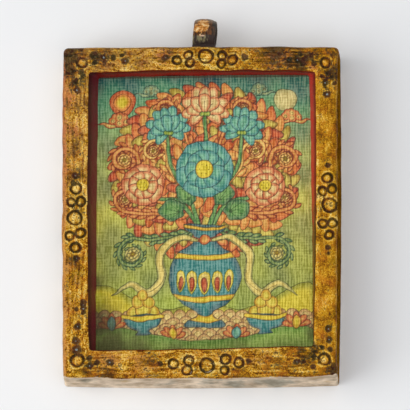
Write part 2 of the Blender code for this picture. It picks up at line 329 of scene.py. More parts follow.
def pressed(face):
    """Depth of the stamps over the face, how much wax they hold, how far their lips stand up, and where
    the hearts of the dots carry a painted glint: a ring is a round trough about a low dome, and a dot is a
    pit with a nub."""
    spots = face.reshape(-1, 2)
    depth, wax, rub, pale = held = np.zeros((4, len(spots)))
    random = np.random.default_rng(7)
    for x, y, radius in MARKS:
        near = np.flatnonzero(np.hypot(*(spots - (x, y)).T) < radius + 1.2)
        across, up = (spots[near] - (x, y)).T
        turn, phase, wide = np.arctan2(up, across), random.uniform(0, 6.3, 3), random.uniform(0.21, 0.29)
        far = np.hypot(across, up)
        far *= 1 + 0.035 * np.sin(2 * turn + phase[0]) + 0.025 * np.sin(3 * turn + phase[1])
        far += (0.02 if radius > RING_MARK else 0.08) * lumps(spots[near], 1.0, 6)
        heavy = 0.8 + 0.25 * np.sin(turn + phase[2])
        if radius > RING_MARK:
            trough = ridge(far, radius - 0.2, 0.23)
            lip = ridge(far, radius + 0.22, 0.17) + 1.1 * ridge(far, 0, radius - 0.46, 4)
            stain = ridge(far, radius - 0.17, wide) + 0.2 * ridge(far, radius + 0.1, 0.5)
        else:
            heart = ridge(far, 0, radius * 0.42)
            trough = 0.9 * ridge(far, 0, radius * 0.75) - 0.5 * heart
            lip = 0.7 * ridge(far, radius + 0.15, 0.16)
            pale[near] = np.maximum(pale[near], heart * (0.15 + 0.4 * (random.random() + (radius > 0.4))))
            stain = ridge(far, 0, radius * 1.4, 4) + 0.4 * ridge(far, 0, radius + 0.7)
        depth[near] = np.maximum(depth[near], TROUGH_DEPTH * heavy * trough) - LIP_HEIGHT * lip
        wax[near] = np.maximum(wax[near], stain * np.clip(heavy + 0.15, 0, 1))
        rub[near] = np.maximum(rub[near], lip)
    return held.reshape(4, *face.shape[:2])


def patches(table, spots):
    """How strongly a table's soft round patches cover the spots, the strongest one counting."""
    return np.max([strength * ridge(np.linalg.norm(spots - (x, y), axis=-1), 0, radius)
                   for x, y, radius, strength in table], axis=0)


def skin(name, points, wrap_rows=False, close_ends=False, **attributes):
    """A piece over a grid of points (rows, columns round, 3) in millimetres: four-sided faces between
    neighbours, the columns closing on themselves. The rows close too with wrap_rows, or each end gets
    a fan to its middle with close_ends. Faces are turned outwards by the sign of the volume."""
    rows, columns = points.shape[:2]
    index = np.arange(rows * columns).reshape(rows, columns)
    after, above = np.roll(index, -1, axis=1), np.roll(index, -1, axis=0)
    faces = np.stack([index, after, np.roll(after, -1, axis=0), above], axis=-1)
    faces = faces[:None if wrap_rows else -1].reshape(-1, 4)
    places = points.reshape(-1, 3)
    a, b, c, d = (places[faces[:, k]] for k in range(4))
    volume = (np.cross(b - a, d - a) * a).sum() + (np.cross(d - c, b - c) * c).sum()
    outwards = -1 if volume < 0 else 1
    polygons = faces[:, ::outwards].tolist()
    if close_ends:
        places = np.concatenate([places, points[[0, -1]].mean(axis=1)])
        attributes = {key: np.append(value, value[[0, -1]].mean(axis=1)) for key, value in attributes.items()}
        fans = np.concatenate([np.stack([after[0], index[0], 0 * after[0] + index.size], axis=-1),
                               np.stack([index[-1], after[-1], 0 * after[0] + index.size + 1], axis=-1)])
        polygons += fans[:, ::outwards].tolist()
    return shaped(name, places, polygons, **attributes)


def lifted(rows, heights):
    """Rows of flat places, each row with its height."""
    return np.concatenate([rows, np.broadcast_to(heights[:, None, None], (*rows.shape[:2], 1))], axis=-1)


def frame_grid():
    """The frame's cross-section, from the middle of its back out over the face and down the recess,
    carried round the four outlines. Returns the grid and its attributes."""
    corners = FRONT[1]
    shares = [side_shares(corners[k], corners[(k + 1) % 4]) for k in range(4)]
    outlines = (BACK, FRONT, OPENING, FLOOR)
    back, front, opening, floor = (outline_points(outline, shares) for outline in outlines)
    for x, y, push in FLARES:
        front[:, 0] += push * ridge(np.linalg.norm(front - (x, y), axis=1), 0, FLARE_REACH)
    width = np.linalg.norm(opening - front, axis=1)
    inward = (opening - front) / width[:, None]
    # Back rim and outer wall: height and inset of each row
    turn = np.linspace(0, math.pi / 2, BACK_RIM_ROWS)
    wall = np.linspace(BACK_RIM, FRAME_DEPTH - RIM, WALL_ROWS + 1)[1:]
    heights = np.concatenate([BACK_RIM * (1 - np.cos(turn)), wall])
    insets = np.concatenate([BACK_RIM * (1 - np.sin(turn)), 0 * wall])[:, None, None]
    outer = lifted(back + (front - back) * (heights / FRAME_DEPTH)[:, None, None] + inward * insets, heights)
    # Face: rows by their way across the rail, close together over both rims
    near = RIM * (1 - np.cos(np.linspace(0, math.pi / 2, RIM_ROWS + 1)[1:]))
    far = INNER_RIM * (1 - np.cos(np.linspace(math.pi / 2, 0, INNER_RIM_ROWS)))
    middle = near[-1] + np.linspace(0, 1, RAIL_ROWS + 2)[1:-1, None] * (width - near[-1] - far[0])
    away = np.concatenate([near[:, None] + 0 * width, middle, width - far[:, None]])
    inner_drop = INNER_RIM - np.sqrt(INNER_RIM**2 - np.clip(INNER_RIM - (width - away), 0, INNER_RIM) ** 2)
    drop = RIM - np.sqrt(RIM**2 - np.clip(RIM - away, 0, RIM) ** 2) + inner_drop
    face = front + inward * away[..., None]
    depth, wax, rub, pale = pressed(face)
    pits = patches(TARNISH, face) * np.clip(1.7 * lumps(face, 1.1, 5) + 0.05, 0, 1)
    depth, wax = np.maximum(depth, PIT_DEPTH * pits), np.maximum(wax, 1.2 * pits)
    # Painted highlight: a patchy light band along the face's inner edge, added to the rubbed lips
    rub = rub + 0.9 * ridge(width - away, 0.5, 0.3) * np.clip(0.4 + 0.8 * lumps(face, 6.0, 8), 0, 1)
    face = np.concatenate([face, (FRAME_DEPTH - drop - depth)[..., None]], axis=-1)
    # Recess wall
    down = np.linspace(FRAME_DEPTH - INNER_RIM, CLOTH_FACE - 0.15, RECESS_ROWS + 1)[1:]
    down = np.append(down, RECESS_FLOOR)
    sunk = np.minimum((FRAME_DEPTH - down) / (FRAME_DEPTH - CLOTH_FACE), 1)[:, None, None]
    recess = lifted(opening + (floor - opening) * sunk, down)
    grid = np.concatenate([outer, face, recess])
    # Hand-made unevenness, less over the back so that it lies flat
    swell = (0.09 * lumps(grid, 9.0, 1) + 0.05 * lumps(grid, 3.2, 2)) * np.clip(grid[..., 2] / 2, 0, 1)
    grid[..., :2] -= inward * swell[..., None]
    ripple = 0.07 * lumps(grid[..., :2], 7.0, 3) + 0.03 * lumps(grid[..., :2], 1.8, 4) - 0.07
    grid[..., 2] += np.clip(grid[..., 2] - 9, 0, 1) * ripple
    # Wear and painted shade: the right outer wall is gilt and dark with wax and painted shade, and the top
    # one's rim has a lighter painted shade. All but the right one are bare chalk but for the gilt near their
    # rims, of which the foot one has none, and the left one's rim is red
    margins = ((len(outer), len(recess)), (0, 0))
    wax, rub, pale = (np.pad(value, margins) for value in (wax, rub, pale))
    zone = np.repeat((0.0, 1.0, 2.0), (len(outer), len(face), len(recess)))[:, None] + 0 * width
    outside, height = zone < 0.5, grid[..., 2]
    way = np.roll(front, -1, axis=0) - np.roll(front, 1, axis=0)
    rightward, upward = np.stack([-way[:, 1], way[:, 0]]) / np.linalg.norm(way, axis=1)
    edge = np.clip((FRAME_DEPTH - 0.25 - height) / 0.6, 0, 1) * (zone < 1.5)
    low = np.clip((10.2 - height) / 1.2, 0, 1) * outside
    dark = np.max([patches(TARNISH, grid[..., :2]), 0.6 * edge * np.clip(rightward, 0, 1) ** 2,
                   0.4 * edge * np.clip(upward, 0, 1) ** 2], axis=0)
    bare = np.max([edge * np.clip((-upward - 0.4) / 0.25, 0, 1), outside * np.clip(1.2 - height, 0, 1),
                   low * np.clip((np.maximum(-rightward, upward) - 0.5) / 0.3, 0, 1)], axis=0)
    steps = np.linalg.norm(np.roll(front, -1, axis=0) - front, axis=1)
    along = np.cumsum(steps) - steps + 0 * zone
    across = np.concatenate([outer[..., 2] - FRAME_DEPTH, away, width + FRAME_DEPTH - recess[..., 2]])
    warm = np.clip((1.1 - across) / 0.7, 0, 1) * np.clip(-rightward, 0, 1) ** 2 * 0.8
    warm = np.maximum(patches(BOLE, grid[..., :2]), warm)
    sunk = np.clip((FRAME_DEPTH - height) / (FRAME_DEPTH - CLOTH_FACE), 0, 1)
    # The red lining starts further out over the foot rail's inner rim, widening the painted shade line there
    lining = np.pad(np.clip((inner_drop - 0.07 + 0.05 * np.clip(-upward, 0, 1)) / 0.08, 0, 1), margins)
    return grid, {"zone": zone, "wax": wax, "rub": rub, "pale": pale, "tarnish": dark, "bole": warm,
                  "bare": bare, "sunk": sunk, "lining": np.maximum(lining, zone > 1.5),
                  "along": along * MM, "across": across * MM}


grid, held = frame_grid()
gilt_frame = skin("gilt_frame", grid, close_ends=True, **held)


def gilding(name, sheen, shine, soil_and_shade, glint):
    """The frame's finish: gold over red over chalk, with wax in its hollows and red paint in the recess, and
    painted highlights, glints and shade in places. Sheen and shine are its specular and metallic shares; soil
    is thin wax, and the colour of the painted shade on the right and top outer walls, glinting by the share
    glint."""
    gilt = Paint(name)
    place, side, height = gilt.where()
    rail = {0: gilt.held("along"), 1: gilt.held("across"), 2: gilt.held("zone")}
    rail = gilt.node("ShaderNodeCombineXYZ", {}, rail)
    streak = gilt.noise(rail, 1500, 3, 0.55, (0.16, 1.4, 0.01))
    blotch = gilt.noise(rail, 700, stretch=(0.5, 1.0, 0.01))
    grit, grain = gilt.noise(place, 4600, 2, 0.7), gilt.noise(place, 1700, 4, 0.65)
    cloud = gilt.noise(place, 330)
    tarnish = gilt.held("tarnish")
    smooth = gilt.step(side, 0.019, 0.0215)
    tone = (0.495 + (streak - 0.5) * (0.9 + tarnish - 0.5 * smooth) + (grit - 0.5) * (1.6 - 0.6 * smooth)
            + (grain - 0.5) * (1.2 - 0.8 * smooth) + (blotch - 0.5) * (1.1 - 0.6 * smooth)
            + (cloud - 0.5) * 0.7 + gilt.held("rub") * 0.18)
    gold = gilt.ramp(tone, (0.18, (80, 46, 6)), (0.36, (134, 82, 4)), (0.50, (182, 124, 12)),
                     (0.64, (218, 164, 36)), (0.82, (252, 218, 124)))
    # Gold: redder and greener in places, dusty at the upper left, red clay where it is rubbed, dark spots
    hue = gilt.noise(place, 480)
    gold = gilt.mix(gilt.step(hue, 0.48, 0.64) * 0.4, gold, gilt.mix(0.6, gold, (206, 112, 34)))
    gold = gilt.mix(gilt.step(0 - hue, -0.42, -0.30) * 0.4, gold, gilt.mix(0.6, gold, (150, 128, 18)))
    upper = gilt.step(height + (cloud - 0.5) * 0.03, -0.004, 0.012)
    veil = gilt.step(height * 0.35 - side, 0.012, 0.02) * gilt.step(grain, 0.35, 0.65) * upper
    gold = gilt.mix(veil * 0.3, gold, (190, 156, 108))
    bole = gilt.step(gilt.held("bole") + (grain - 0.5) * 1.6 + (streak - 0.5) * 1.8, 0.25, 0.75)
    clay = gilt.mix(upper, (236, 174, 92), (226, 138, 92))
    colour = gilt.mix(bole * 0.75, gold, gilt.mix(grit, (142, 74, 30), clay))
    colour = gilt.mix(gilt.step(gilt.noise(place, 1150), 0.6, 0.66) * 0.5, colour, (94, 66, 10))
    # Wax: thin over the worn patches and the painted shade, thick in the stamps, with painted glints on it
    # and in the dots' hearts
    gleam = gilt.step(gilt.noise(place, 3100, 2, 0.5), 0.56, 0.68)
    worn_and_shaded = gilt.step(tarnish + (grain - 0.5) * 2.4 + (blotch - 0.5) * 1.4 + (grit - 0.5) * 1.8, 0.38, 0.62)
    colour = gilt.mix(worn_and_shaded * 0.86, colour, gilt.mix(gleam * glint, soil_and_shade, (116, 112, 84)))
    wax = gilt.step(gilt.held("wax") + (grain - 0.5) * 1.3 + (grit - 0.5) * 1.5, 0.34, 0.8)
    grime = gilt.mix(gilt.step(hue, 0.44, 0.56), (38, 32, 12), (62, 28, 20))
    colour = gilt.mix(wax * 0.88, colour, gilt.mix(gleam * 0.35, grime, (122, 116, 78)))
    dot_glint = gilt.step(gilt.held("pale") + (grit - 0.5) * 0.8, 0.4, 0.7)
    colour = gilt.mix(dot_glint * 0.75, colour, gilt.mix(grain, (100, 104, 92), (190, 206, 206)))
    # Chalk ground, smudged grey-green, where it was never gilded
    bare = gilt.step(gilt.held("bare") + (grain - 0.5) * 0.8 + (streak - 0.5) * 0.6, 0.35, 0.6)
    smear = gilt.noise(rail, 340, 4, 0.55, (0.5, 0.26, 0.01))
    brush = gilt.noise(rail, 900, 3, 0.55, (0.36, 0.25, 0.01))
    chalk = gilt.mix(gilt.step(brush, 0.25, 0.75), (176, 154, 128), (250, 228, 202))
    smudge = gilt.mix(brush, (70, 78, 56), (150, 158, 152))
    chalk = gilt.mix(gilt.step(smear, 0.51, 0.67) * 0.58, chalk, smudge)
    chalk = gilt.mix(gilt.step(0 - smear, -0.42, -0.34) * 0.4, chalk, (206, 170, 112))
    colour = gilt.mix(bare, colour, chalk)
    # Recess: darker and purple on the left wall as painted shade and reflection, deep red along the top,
    # brighter on the right as painted light, brown at its foot
    right = gilt.step(side, 0.0188, 0.0198)
    red = gilt.mix(gilt.step(side, -0.0197, -0.0185), (130, 40, 56), (176, 14, 2))
    red = gilt.mix(right, red, (205, 50, 40))
    red = gilt.mix(gilt.step((0.5 - blotch) * 0.024 - height, -0.004, 0.004) * right, red, (128, 76, 18))
    red = gilt.mix((grain - 0.3) * 0.9, red, gilt.mix(0.5, red, (60, 20, 18)))
    # Painted shade: the red darkens towards the top of the wall, at the rim
    red = gilt.mix(gilt.step(gilt.held("sunk"), 0.02, 0.6), gilt.mix(0.75, red, (36, 14, 8)), red)
    recess = gilt.step(gilt.held("lining") + (grain - 0.5) * 0.5, 0.4, 0.6)
    return gilt.finish(
        Base_Color=gilt.mix(recess, colour, red), Roughness=0.4 + 0.25 * wax + 0.3 * bare,
        Specular_IOR_Level=sheen, Metallic=(1 - wax) * (1 - recess) * (1 - bare) * (1 - worn_and_shaded) * shine,
        Normal=gilt.bump(streak * 0.35 + grain * 0.6 + grit * 0.6, 0.00018))


gilt_frame.data.materials.append(gilding("gilt_paint", 0.12, 0.4, (46, 28, 8), 0.35))
gilt_frame.data.materials.append(gilding("dull_side_paint", 0.0, 0.0, (58, 30, 4), 0.0))
# The outer wall is dull: the rows of faces up to the front's rim, and the fan that closes the back
around = grid.shape[1]
face_slots = np.zeros(len(gilt_frame.data.polygons), np.int32)
face_slots[:(BACK_RIM_ROWS + WALL_ROWS) * around] = 1
face_slots[-2 * around:-around] = 1
gilt_frame.data.polygons.foreach_set("material_index", face_slots)
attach(gilt_frame, "root")
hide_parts("frame")


# ---- Canvas --------------------------------------------------------------------------------------
# Plain-woven cotton, sized and glued on a thin board that lies in the recess. The picture is painted
# in thin colour with brown ink outlines, so that the weave shows through, and it has aged and stained.
CLOTH_CORNERS = ((-19.5, 26.3), (20.3, 26.35), (20.55, -25.1), (-19.65, -25.45))
CLOTH_COLUMNS, CLOTH_ROWS = 254, 326
THREAD = 0.51 * MM
# Stains: x, y, radius, strength. Painted shade also runs along the top edge, under the recess wall.
STAINS = (
    (-19.5, -20, 5.5, 1), (-17, -24.5, 6, 1), (-12, -25, 5, 0.7), (-19.5, -12, 2.6, 0.7),
    (-4, -26.2, 5, 0.55), (6, -26.2, 6, 0.5), (16, -26, 5, 0.6), (20.5, -22, 2.4, 0.6), (-19.8, 0, 2, 0.4),
    (-16, -17, 3, 0.4), (-19.6, 24, 2.4, 0.5), (0, 27.4, 5, 0.5), (12, 27.6, 5, 0.45), (20.4, 12, 1.6, 0.3))
TOP_SHADE, TOP_SHADE_WIDTH = 26.1, 0.35
# The picture's middle line, how softly a shape of it ends, and a distance at which no ink shows.
MIDDLE, EDGE_BLUR, NO_INK = 0.5, 0.14, 9.0

# The paints, alone and in pairs of edge and heart.
CORAL, ORANGE, PEACH, CREAM = (192, 82, 42), (214, 122, 56), (226, 170, 96), (236, 212, 132)
BLUE, DEEP_BLUE, ICE = (62, 140, 146), (34, 92, 112), (122, 186, 164)
YELLOW, GOLD, LEAF, DEEP_LEAF = (226, 204, 56), (206, 154, 40), (98, 150, 86), (54, 106, 76)
FLAME, ROSE, GLAZE, WATER = (CORAL, PEACH), (CORAL, CREAM), (DEEP_BLUE, BLUE), (BLUE, ICE)
GILT, STALK, MIST = (GOLD, YELLOW), (DEEP_LEAF, LEAF), ((96, 140, 122), (186, 190, 140))
BLOSSOM, MAROON = ((204, 104, 70), (240, 214, 156)), (146, 48, 34)
FOLIAGE = ((CORAL, ORANGE), (MAROON, (206, 92, 52)), (ORANGE, PEACH), FLAME, ((158, 126, 48), (214, 196, 98)))


def curve(*points, count=10):
    """A smooth path through the points: Catmull-Rom pieces, each a cubic of its four nearest points."""
    known = np.array(points, float)
    known = np.concatenate([[2 * known[0] - known[1]], known, [2 * known[-1] - known[-2]]])
    t = np.linspace(0, 1, count, endpoint=False)[:, None]
    pieces = [b + t / 2 * (c - a + t * (2 * a - 5 * b + 4 * c - d + t * (3 * b - a - 3 * c + d)))
              for a, b, c, d in zip(known, known[1:], known[2:], known[3:])]
    return np.concatenate([*pieces, known[-2:-1]])


def mirrored(flip, *points):
    """A smooth path through points about the picture's middle line, on its left side if flip."""
    return curve(*points) * (-1 if flip else 1, 1) + (MIDDLE, 0)


def placed(shape, x, y, turn=0, size=1, flip=False):
    """A shape's points scaled, mirrored left to right if flip, turned by degrees and moved."""
    angle = math.radians(turn)
    shape = np.array(shape, float) * (-size if flip else size, size)
    return shape @ [[math.cos(angle), math.sin(angle)], [-math.sin(angle), math.cos(angle)]] + (x, y)


def petal(x, y, turn, length, width, bend=0, point=0.5):
    """Outline of a petal: its half-width grows as t^0.7 from the base and closes as (1 - t)^point, about
    an axis that bends sideways as t squared."""
    t = np.linspace(0, 1, 14)
    half = t**0.7 * (1 - t) ** point
    half *= width / 2 / half.max()
    sides = [np.stack([length * t, bend * t**2 + side * half], axis=-1) for side in (1, -1)]
    return placed(np.concatenate([sides[0], sides[1][-2:0:-1]]), x, y, turn)


def spiral(radius, start, turns, inner=0.15, count=26):
    """A path winding in from radius to inner times radius, from the angle start through turns rounds."""
    t = np.linspace(0, 1, count)
    angle = math.radians(start) + 2 * math.pi * turns * t
    away = radius * (1 - (1 - inner) * t**0.8)
    return np.stack([away * np.cos(angle), away * np.sin(angle)], axis=-1)


class Painting:
    """A picture on a grid of places in millimetres: each shape covers what lies under it, its colour
    fading from edge to heart, and leaves its distance from the nearest ink line at every place."""

    def __init__(self, spots, colour):
        self.spots, self.colour = spots, colour
        self.ink = np.full(spots.shape[:2], NO_INK)

    def near(self, path, margin):
        """The block of the grid round a path."""
        low, high = path.min(axis=0) - margin, path.max(axis=0) + margin
        inside = (self.spots > low) & (self.spots < high)
        rows, columns = np.flatnonzero(inside[..., 1].any(axis=1)), np.flatnonzero(inside[..., 0].any(axis=0))
        if not len(rows) or not len(columns):
            return slice(0), slice(0)
        return slice(rows[0], rows[-1] + 1), slice(columns[0], columns[-1] + 1)

    def away(self, block, path):
        """Distances from the block's places to each piece of a path, and the share along that piece."""
        start, way = path[:-1], np.diff(path, axis=0)
        offset = self.spots[block][:, :, None] - start
        share = np.clip((offset * way).sum(axis=-1) / (way**2).sum(axis=-1).clip(1e-9), 0, 1)
        return np.linalg.norm(offset - share[..., None] * way, axis=-1), share

    def cover(self, block, depth, tones, fade):
        """Lays paint where depth, the distance inside the outline, is positive."""
        shade = np.clip(depth / fade, 0, 1)[..., None]
        shade = shade * shade * (3 - 2 * shade)
        edge, heart = np.array(tones)
        share = np.clip(depth / EDGE_BLUR + 0.5, 0, 1)[..., None]
        self.colour[block] = self.colour[block] * (1 - share) + (edge * (1 - shade) + heart * shade) * share
        line = np.abs(depth)
        self.ink[block] = np.where(depth > 0, line, np.minimum(self.ink[block], line))

    def fill(self, outline, tones, fade):
        """A shape with a closed outline."""
        path = np.concatenate([outline, outline[:1]])
        block = self.near(path, 0.5)
        far = self.away(block, path)[0].min(axis=-1)
        x, y = (self.spots[block][:, :, None, k] for k in (0, 1))
        (x0, y0), (x1, y1) = path[:-1].T, path[1:].T
        crossed = ((y0 > y) != (y1 > y)) & (x < (x1 - x0) * (y - y0) / np.where(y1 == y0, 1e-9, y1 - y0) + x0)
        inside = crossed.sum(axis=-1) % 2 == 1
        self.cover(block, np.where(inside, far, -far), tones, fade)

    def stroke(self, path, widths, tones, fade):
        """A ribbon along a path, its width changing evenly through the widths given."""
        half = np.interp(np.linspace(0, 1, len(path)), np.linspace(0, 1, len(widths)), widths) / 2
        block = self.near(path, half.max() + 0.5)
        far, share = self.away(block, path)
        self.cover(block, (half[:-1] + share * np.diff(half) - far).max(axis=-1), tones, fade)

    def discs(self, places, tones, fade):
        """Discs (x, y, radius) merged into one shape."""
        places = np.array(places, float)
        middles, reach = places[:, :2], places[:, 2:]
        block = self.near(np.concatenate([middles - reach, middles + reach]), 0.5)
        far = np.linalg.norm(self.spots[block][:, :, None] - middles, axis=-1)
        self.cover(block, (places[:, 2] - far).max(axis=-1), tones, fade)

    def line(self, path, thin):
        """An ink line; a larger number draws it thinner."""
        block = self.near(path, 0.5)
        self.ink[block] = np.minimum(self.ink[block], self.away(block, path)[0].min(axis=-1) * thin)

    def cloud(self, x, y, size, flip, tones):
        """A cloud of merged curls with a long tail and a short one."""
        long = curve((-0.5, -0.55), (-2.3, -0.95), (-3.8, -0.45), (-5.4, -0.9), (-6.6, -0.55))
        short = curve((0.3, -0.55), (1.9, -0.9), (3, -0.4), (4.1, -0.65))
        for tail, widths, fade in ((long, (1.3, 0.95, 0.5), 0.45), (short, (1.1, 0.7), 0.4)):
            widths = [size * width for width in widths] + [0.05]
            self.stroke(placed(tail, x, y, 0, size, flip), widths, tones, fade)
        lobes = np.array(((0, 0.75, 0.95), (1.25, 0.1, 0.8), (-1.3, 0, 0.85), (0, -0.25, 0.9),
                          (-1, 0.85, 0.6), (1, 0.9, 0.55)))
        middles, radii = placed(lobes[:, :2], x, y, 0, size, flip), size * lobes[:, 2:]
        self.discs(np.concatenate([middles, radii], axis=1), tones, 0.75 * size)
        for middle, radius, start in zip(middles, radii[:, 0], (100, -20, 200, 250)):
            self.line(spiral(radius * 0.62, start, -1.15 if flip else 1.15) + middle, 1.2)

    def vine(self, path, leaf, tones, width):
        """A winding stem with pointed leaves that spring from alternate sides and bend back, each a little
        shorter than the one before."""
        way = np.gradient(path, axis=0)
        heading = np.degrees(np.arctan2(way[:, 1], way[:, 0]))
        lengths = np.concatenate([[0], np.cumsum(np.linalg.norm(np.diff(path, axis=0), axis=1))])
        far, side = 0.3 * leaf, 1
        while far < lengths[-1]:
            k = np.searchsorted(lengths, far)
            long = leaf * (1 - 0.5 * far / lengths[-1])
            blade = petal(*path[k], heading[k] + 44 * side, long, 0.46 * long, -0.34 * long * side, 0.62)
            self.fill(blade, tones, 0.24 * long)
            far, side = far + 0.42 * long, -side
        self.stroke(path, (0.6 * width, width, width, 0.7 * width), tones, 0.35)

    def coiled_vine(self, flip, points, x, y, radius, start, turns, leaf, tones, width, flower):
        """A vine that ends in a spiral round a small flower, about the picture's middle line."""
        coil = placed(spiral(radius, start, turns, 0.2, 34)[1:] + (x, y), MIDDLE, 0, 0, 1, flip)
        self.vine(np.concatenate([mirrored(flip, *points), coil]), leaf, tones, width)
        self.rosette(MIDDLE + (-x if flip else x), y, 0.42 * radius, 6, flower)

    def lotus(self, x, y, size, tones, turn):
        """A lotus seen from the side: petals fan out from its foot, the middle one in front."""
        fan = ((78, 0.98, 0.2), (22, 1.2, 0), (52, 1.12, 0.1), (0, 1.16, 0), (100, 0.72, 0.25),
               (64, 0.8, 0.12), (36, 0.86, 0.05), (0, 0.84, 0))
        for lean, length, bend in fan:
            for side in (1, -1) if lean else (1,):
                ahead = 90 + turn - side * lean
                blade = petal(x, y, ahead, length * size, 0.5 * size, -bend * side * size, 0.45)
                self.fill(blade, tones, 0.16 * size)
                vein = (0.3 * length * size, 0), (0.62 * length * size, -0.4 * bend * side * size)
                self.line(placed(vein, x, y, ahead), 1.25)
        seeds = [(x + 0.13 * size * k, y - 0.02 * size, 0.1 * size) for k in (-1, 0, 1)]
        self.discs(seeds, (LEAF, (166, 176, 66)), 0.3)

    def rosette(self, x, y, size, petals, tones, turn=0):
        """An open flower seen from the front: two rings of round petals about a seeded heart."""
        width = 2.3 * math.sin(math.pi / petals) * size
        for reach, shift in ((1, 0), (0.68, 0.5)):
            for k in range(petals):
                angle = turn + 360 * (k + shift) / petals
                self.fill(petal(x, y, angle, reach * size, reach * width, 0, 0.28), tones, 0.3 * size * reach)
        self.discs([(x, y, 0.3 * size)], GILT, 0.3)
        for angle in np.arange(6) * math.pi / 3:
            seed = (x + 0.16 * size * math.cos(angle), y + 0.16 * size * math.sin(angle), 0.05)
            self.discs([seed], GILT, 0.3)

    def round_leaf(self, x, y, size, turn):
        """A wavy round leaf with veins from its foot."""
        angle = np.linspace(0, 2 * math.pi, 40, endpoint=False)
        away = size * (1 + 0.07 * np.sin(5 * angle) + 0.28 * np.cos(angle))
        rim = np.stack([away * np.cos(angle), 0.8 * away * np.sin(angle)], axis=-1)
        self.fill(placed(rim, x, y, turn), STALK, 0.5 * size)
        for lean in (-52, -26, 0, 26, 52):
            vein = petal(-0.35 * size, 0, lean, 1.15 * size, 0.02)
            self.line(placed(vein[:14], x, y, turn), 1.25)

    def jewel(self, x, y, size, tones):
        """A flaming jewel: a drop in a collar of small tongues."""
        for lean in (-64, 64, -34, 34, 0):
            bend = 0.25 * size * np.sign(lean)
            tongue = petal(x, y - 0.4 * size, 90 + lean, 2.1 * size, 0.95 * size, bend, 0.6)
            self.fill(tongue, FLAME, 0.5 * size)
        self.fill(petal(x, y - 0.8 * size, 90, 2 * size, 1.25 * size, 0, 0.75), tones, 0.5 * size)


def ground(spots):
    """The wash behind: teal at the top, paler down to the middle, green and then olive at the foot."""
    heights = (-26, -21, -12, 2, 14, 21, 26.5)
    washes = np.array(((104, 112, 44), (146, 166, 76), (156, 164, 84), (186, 184, 100), (156, 174, 118),
                       (104, 164, 128), (34, 108, 108)))
    level = spots[..., 1] + 1.2 * np.sin(spots[..., 0] * 0.31 + 1) + 0.8 * np.sin(spots[..., 0] * 0.83)
    wash = np.stack([np.interp(level, heights, washes[:, k]) for k in range(3)], axis=-1)
    blot = 0.5 + 0.5 * lumps(spots * (1, 0.6), 5.0, 51)[..., None]
    return wash * (0.9 + 0.2 * blot) + np.array((14, 10, -12)) * (blot - 0.5)


# Vines that spread from the vase: points from its middle line, then the coil's x, y, radius, first angle and
# rounds, the leaves' length, their tones, the stem's width and the flower's tones.
COILED_VINES = (
    (((6, 1), (9, 0.5), (12, 0.6)), 14.6, 3.4, 2.5, 250, 1.3, 2.3, FLAME, 0.7, ROSE),
    (((9, 3), (10.6, 6.5), (11.2, 8)), 14.9, 10.6, 3, 215, -1.4, 2.6, FLAME, 0.8, (ORANGE, CREAM)),
    (((4.5, 6), (6.6, 9), (6.8, 10.5)), 9.4, 12.2, 2.6, 190, -1.3, 2.5, (ORANGE, CREAM), 0.7, ROSE),
    (((1.5, 10), (3.2, 14.5), (4.6, 17.6)), 7.4, 20, 2.1, 215, -1.2, 2.2, FLAME, 0.7, ROSE),
    (((1.6, -2.4), (5, -3.6), (9.6, -4.2)), 13.2, -7, 3.2, 110, -1.4, 2.1, (DEEP_LEAF, (168, 172, 100)), 0.6,
     ((150, 152, 96), CREAM)))
# Half the vase's outline from its foot up, and its bands: lowest and highest point, tones.
VASE = curve((0, -20.6), (3.6, -20.5), (3.2, -19.4), (1.7, -18.7), (1.6, -17.6), (3.8, -16.4), (6.1, -13.8),
             (6.6, -10.6), (5.4, -7.4), (3.1, -5.7), (2.2, -4.8), (2.1, -3.4), (3.6, -2.4), (3.8, -1.6))
BANDS = ((-19.3, -17.9, GILT), (-15.6, -14.3, GILT), (-7.9, -6.6, GILT), (-4.5, -3.6, FLAME),
         (-2.2, -1.6, GILT))
# The two bowls' places and their outline, the fruit in them as x, y, radius, and the stems of round leaves.
BOWL_PLACES = ((-10.8, -18.4), (11.7, -18.4))
BOWL = curve((-3.6, 0.2), (-2.9, -1.7), (-1.1, -2.6), (-1.3, -3.4), (1.3, -3.4), (1.1, -2.6), (2.9, -1.7),
             (3.6, 0.2))
FRUIT = ((-1.6, 0.6, 1.3), (1.6, 0.6, 1.3), (0, 1, 1.5), (-0.9, 2.6, 1.2), (1, 2.5, 1.2), (0, 3.8, 1))
STEMS = (((1, -2), (4.5, 2.5), (8, 3.4), (11, 5)), ((0.8, -2), (3.5, 5), (6.2, 9.5), (6.8, 15.5)))


